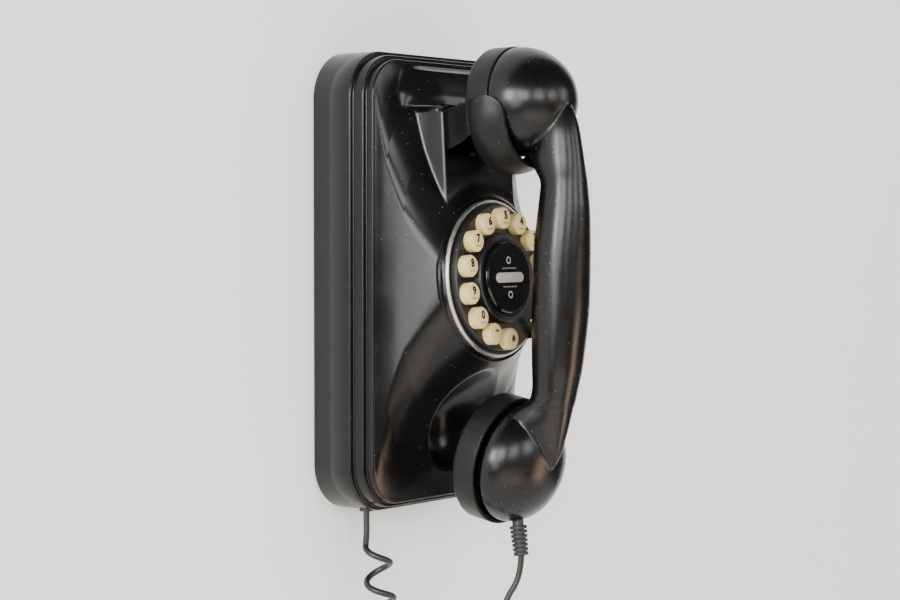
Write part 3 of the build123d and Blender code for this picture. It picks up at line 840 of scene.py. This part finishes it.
def cradle():
    """Two side plates come out of the slot, flare smoothly and run on into a half-round strap under the ear cap."""
    for side, sign in (("left", -1), ("right", 1)):
        depths = np.concatenate([np.linspace(ARM_BACK, ARM_MOUTH, 8), np.linspace(ARM_MOUTH + 2, STRAP_BACK, 24)])
        verts, rows = [], 24
        for depth in depths:
            for z in np.linspace(np.interp(depth, *LOW_LINE), np.interp(depth, *TOP_LINE), rows):
                verts.append((sign * plate_x(depth, z) * MM, -depth * MM, z * MM))
        faces = grid_faces(len(depths), rows, wrap=False)
        plate = finish_mesh("cradle_plate_" + side, mesh_from("plate", verts, faces), "matte", "cradle",
                            sharp=60)
        thicken(plate, PLATE_T)
    # Strap: from the top of one lobe, under the cap, to the top of the other
    depths = np.linspace(STRAP_BACK, STRAP_FRONT, 22)
    verts, columns = [], 120
    for depth in depths:
        top_z = np.interp(depth, *TOP_LINE)
        radius = half_width(depth) - STRAP_DRAW_IN * smoothstep(depth, FLARE_TO, STRAP_FRONT)
        start = math.asin(min(max(STRAP_Z - top_z, 0.0) / radius, 1.0))
        turn = np.linspace(math.pi + start, 2 * math.pi - start, 200)
        arc = np.stack([radius * np.cos(turn), STRAP_Z + radius * np.sin(turn)], 1)
        if top_z > STRAP_Z:
            arc = np.concatenate([[(-radius, top_z)], arc, [(radius, top_z)]])
        run = np.concatenate([[0.0], np.cumsum(np.linalg.norm(np.diff(arc, axis=0), axis=1))])
        for at in np.linspace(0, run[-1], columns):
            verts.append((np.interp(at, run, arc[:, 0]) * MM, -depth * MM, np.interp(at, run, arc[:, 1]) * MM))
    faces = grid_faces(len(depths), columns, wrap=False)
    strap = finish_mesh("cradle_strap", mesh_from("strap", verts, faces), "matte", "cradle",
                        ("cradle_hook",), sharp=60)
    thicken(strap, STRAP_T)
    # Web across the top of the arm, behind the cap
    depths = np.linspace(ARM_BACK, WEB_FRONT, 24)
    verts, columns = [], 9
    for depth in depths:
        reach = plate_x(depth, 84.0) - 0.4
        for x in np.linspace(-reach, reach, columns):
            verts.append((x * MM, -depth * MM, (np.interp(depth, *TOP_LINE) - 0.5) * MM))
    faces = grid_faces(len(depths), columns, wrap=False)
    web = finish_mesh("cradle_web", mesh_from("web", verts, faces), "matte", "cradle", sharp=60)
    thicken(web, WEB_T)


def thicken(obj, thickness):
    """Give a sheet its thickness, away from the outside, and round its edges."""
    outward = sum((p.normal.x * p.center.x + p.normal.z * (p.center.z - STRAP_Z * MM) for p in obj.data.polygons))
    solid = obj.modifiers.new("thick", "SOLIDIFY")
    solid.thickness = thickness
    solid.offset = -1 if outward > 0 else 1
    solid.use_even_offset = True
    bevel = obj.modifiers.new("edges", "BEVEL")
    bevel.width = 0.6 * MM
    bevel.segments = 3
    bevel.limit_method = "ANGLE"
    bevel.angle_limit = math.radians(50)


# ---------------------------------------------------------------- cord

CORD_D = 3.2 * MM
COIL_R = 6.3 * MM
CORD_TOP = Vector((-42.0, -16.0, -115.5)) * MM
# Route in the upright plane through both ends: share of the way across, height in mm
ROUTE = (
    (0.0, -115.5), (0.0, -142.0), (0.064, -178.0), (0.064, -212.0), (0.115, -243.0), (0.32, -262.0),
    (0.60, -262.0), (0.80, -245.0), (0.85, -212.0), (0.825, -179.0), (0.895, -160.0), (0.995, -148.0), (1.0, -137.0),
)
PITCH_TOP = 18.5 * MM
PITCH_LOW = 4.7 * MM
# Plain lengths at both ends, the length over which the coil opens out, and where its first turn begins
LEAD_IN = 9 * MM
LEAD_OUT = 62 * MM
COIL_FADE = 17 * MM
FIRST_TURN = 17.4 * MM
HELIX_STEP = 0.25 * MM
WIRE_STEP = 1.1 * MM
CORD_SIDES = 12


def nurbs_points(points, resolution=40):
    data = bpy.data.curves.new("route", "CURVE")
    data.dimensions = "3D"
    data.resolution_u = resolution
    spline = data.splines.new("NURBS")
    spline.points.add(len(points) - 1)
    for slot_point, point in zip(spline.points, points):
        slot_point.co = (*point, 1.0)
    spline.order_u = 3
    spline.use_endpoint_u = True
    holder = bpy.data.objects.new("route", data)
    bpy.context.collection.objects.link(holder)
    bpy.context.view_layer.update()
    mesh = bpy.data.meshes.new_from_object(holder.evaluated_get(bpy.context.evaluated_depsgraph_get()))
    line = np.array([v.co[:] for v in mesh.vertices])
    bpy.data.objects.remove(holder)
    bpy.data.meshes.remove(mesh)
    return line


def cord():
    across = RELIEF_END - CORD_TOP
    points = [Vector((CORD_TOP.x + across.x * s, CORD_TOP.y + across.y * s, z * MM)) for s, z in ROUTE]
    line = nurbs_points(points)
    run = np.concatenate([[0.0], np.cumsum(np.linalg.norm(np.diff(line, axis=0), axis=1))])
    total = run[-1]
    # Coil radius along the route: straight lead, coil, longer straight lead
    along = np.arange(0, total, HELIX_STEP)
    opened = smoothstep(along, LEAD_IN, LEAD_IN + COIL_FADE)
    radius = COIL_R * opened * (1 - smoothstep(along, total - LEAD_OUT - COIL_FADE, total - LEAD_OUT))
    # The turns are drawn out where the coil hangs from its ends and close up at the bottom of the loop
    low_point = 0.5 * (LEAD_IN + total - LEAD_OUT)
    from_top = (low_point - along) / (low_point - LEAD_IN)
    stretch = np.where(from_top > 0, smoothstep(from_top, 0.05, 0.62), 0.55 * smoothstep(-from_top, 0.25, 1.0))
    turns = np.cumsum(2 * math.pi * HELIX_STEP / (PITCH_LOW + (PITCH_TOP - PITCH_LOW) * stretch))
    turns = np.maximum(turns - np.interp(FIRST_TURN, along, turns), 0.0) + math.pi
    # A frame carried along the route without twist
    centre = np.stack([np.interp(along, run, line[:, i]) for i in range(3)], 1)
    tangent = np.gradient(centre, axis=0)
    tangent /= np.linalg.norm(tangent, axis=1)[:, None]
    side_axis = np.array([-across.y, across.x, 0.0])
    side_axis /= np.linalg.norm(side_axis)
    other_axis = np.cross(tangent, side_axis)
    # The lead runs on as the outer side of the first turns, so the coil's axis stands off by its radius there
    aside = 0.78 * radius * (1 - smoothstep(along, 60 * MM, 120 * MM))
    helix = centre + aside[:, None] * other_axis
    helix = helix + (radius * np.cos(turns))[:, None] * other_axis + (radius * np.sin(turns))[:, None] * side_axis
    # Even spacing along the wire
    wire = np.concatenate([[0.0], np.cumsum(np.linalg.norm(np.diff(helix, axis=0), axis=1))])
    count = int(wire[-1] / WIRE_STEP)
    at = np.linspace(0, wire[-1], count)
    path = np.stack([np.interp(at, wire, helix[:, i]) for i in range(3)], 1)
    direction = np.gradient(path, axis=0)
    direction /= np.linalg.norm(direction, axis=1)[:, None]
    up = np.zeros_like(path)
    up[0] = np.cross(direction[0], (1.0, 0.0, 0.0))
    for i in range(1, count):
        carried = up[i - 1] - direction[i] * np.dot(up[i - 1], direction[i])
        up[i] = carried / np.linalg.norm(carried)
    right = np.cross(direction, up)
    verts = []
    for a in np.arange(CORD_SIDES) * 2 * math.pi / CORD_SIDES:
        verts.append(path + CORD_D / 2 * (math.cos(a) * up + math.sin(a) * right))
    verts = np.stack(verts, 1).reshape(-1, 3)
    faces = grid_faces(count, CORD_SIDES)
    faces.append(tuple(range(CORD_SIDES))[::-1])
    faces.append(tuple(range(len(verts) - CORD_SIDES, len(verts))))
    obj = finish_mesh("handset_cord", mesh_from("handset_cord", verts, faces), "cord", None,
                      ("cord_body_lead", "cord_coil", "cord_handset_lead"), sharp=60)
    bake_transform(obj)
    print("cord length m", round(float(wire[-1]), 3), "route m", round(float(total), 3))


# ---------------------------------------------------------------- other nodes, room and lights

NODE_MATERIALS = {
    "base_plate": "matte", "housing_screws": "steel", "board_screws": "steel", "main_board": "board",
    "line_jack": "matte", "ringer": "matte", "cord_socket": "matte", "reed_switch": "matte", "hook_pin": "steel",
    "hook_spring": "steel", "dial_plate": "dial", "keypad_membrane": "rubber", "keypad_board": "board",
    "center_post": "matte", "outlet_bush": "rubber", "hook_magnet": "steel", "receiver_capsule": "steel",
    "microphone_capsule": "steel", "handset_weight": "steel",
}


def dress_nodes():
    for node, material in NODE_MATERIALS.items():
        obj = frame["nodes"][node]
        if not len(obj.data.materials):
            obj.data.materials.append(MATERIALS[material])
        for material_slot in obj.material_slots:
            material_slot.material = MATERIALS[material]


# Metres: the wall is just behind the base plate
ROOM_HALF_W = 3.0
WALL_Y = 0.0006
FLOOR_Z = -1.4
WALL_TOP = 1.8


def room():
    paint = wall_paint()
    left, right = -ROOM_HALF_W, ROOM_HALF_W
    for name, corners in (
        ("wall", [(left, WALL_Y, FLOOR_Z), (right, WALL_Y, FLOOR_Z), (right, WALL_Y, WALL_TOP),
                  (left, WALL_Y, WALL_TOP)]),
        ("floor", [(left, WALL_Y, FLOOR_Z), (right, WALL_Y, FLOOR_Z), (right, left, FLOOR_Z), (left, left, FLOOR_Z)]),
    ):
        mesh = mesh_from(name, corners, [(0, 1, 2, 3)])
        mesh.materials.append(paint)
        obj = bpy.data.objects.new(name, mesh)
        bpy.context.collection.objects.link(obj)


# Windows in a row round the phone: azimuth in degrees, watts seen in glossy faces, watts that light the rest
WINDOWS = ((-86, 66, 30), (-56, 34, 30), (-26, 24, 26), (4, 17, 22), (34, 12, 18))
WINDOW_DISTANCE = 2.6
WINDOW_HEIGHT = 0.55
WINDOW_SIZE = (0.85, 0.8)
LIGHT_TARGET = (0, -0.06, 0.0)
WORLD_LEVEL = 0.07


def area_light(name, where, look_at, size, power, colour=(1.0, 1.0, 1.0), mirrored=True, cast=True):
    """A soft panel; mirrored says if glossy faces show it, cast says if it lights diffuse ones."""
    data = bpy.data.lights.new(name, "AREA")
    data.shape = "RECTANGLE"
    data.size, data.size_y = size
    data.energy = power
    data.color = colour
    light = bpy.data.objects.new(name, data)
    light.location = where
    light.rotation_euler = (Vector(look_at) - Vector(where)).to_track_quat("-Z", "Y").to_euler()
    light.visible_glossy = mirrored
    light.visible_diffuse = cast
    bpy.context.collection.objects.link(light)


def lights():
    """A dim room with a row of windows, a cool panel at the left, a warm one low at the right and a pale ceiling."""
    world = bpy.data.worlds.new("world")
    bpy.context.scene.world = world
    world.use_nodes = True
    world.node_tree.nodes["Background"].inputs["Color"].default_value = (0.95, 0.93, 0.90, 1.0)
    world.node_tree.nodes["Background"].inputs["Strength"].default_value = WORLD_LEVEL
    for i, (azimuth, shown, lit) in enumerate(WINDOWS):
        a = math.radians(azimuth)
        where = (WINDOW_DISTANCE * math.sin(a), -WINDOW_DISTANCE * math.cos(a), WINDOW_HEIGHT)
        aim = (0, -0.06, -0.02)
        area_light("window_" + str(i), where, aim, WINDOW_SIZE, shown, cast=False)
        area_light("daylight_" + str(i), where, aim, WINDOW_SIZE, lit, mirrored=False)
    area_light("soft_panel", (-2.75, -0.9, 0.3), LIGHT_TARGET, (1.0, 1.9), 44, (0.95, 0.98, 1.0), cast=False)
    area_light("warm_panel", (1.4, -2.3, -0.85), LIGHT_TARGET, (0.9, 1.2), 22, (1.0, 0.72, 0.50), cast=False)
    area_light("ceiling", (-0.3, -1.6, 1.7), (0, -0.03, 0), (2.2, 1.4), 22, mirrored=False)
    area_light("low_fill", (-0.9, -1.7, -1.1), (0, -0.03, 0), (2.0, 1.0), 12, (1.0, 0.80, 0.62))


add_camera()
cord()
housing()
bezel_and_plate()
centre_disc()
centre_bar()
centre_marks()
buttons()
finger_stop()
handset()
strain_relief()
cradle()
dress_nodes()
room()
lights()
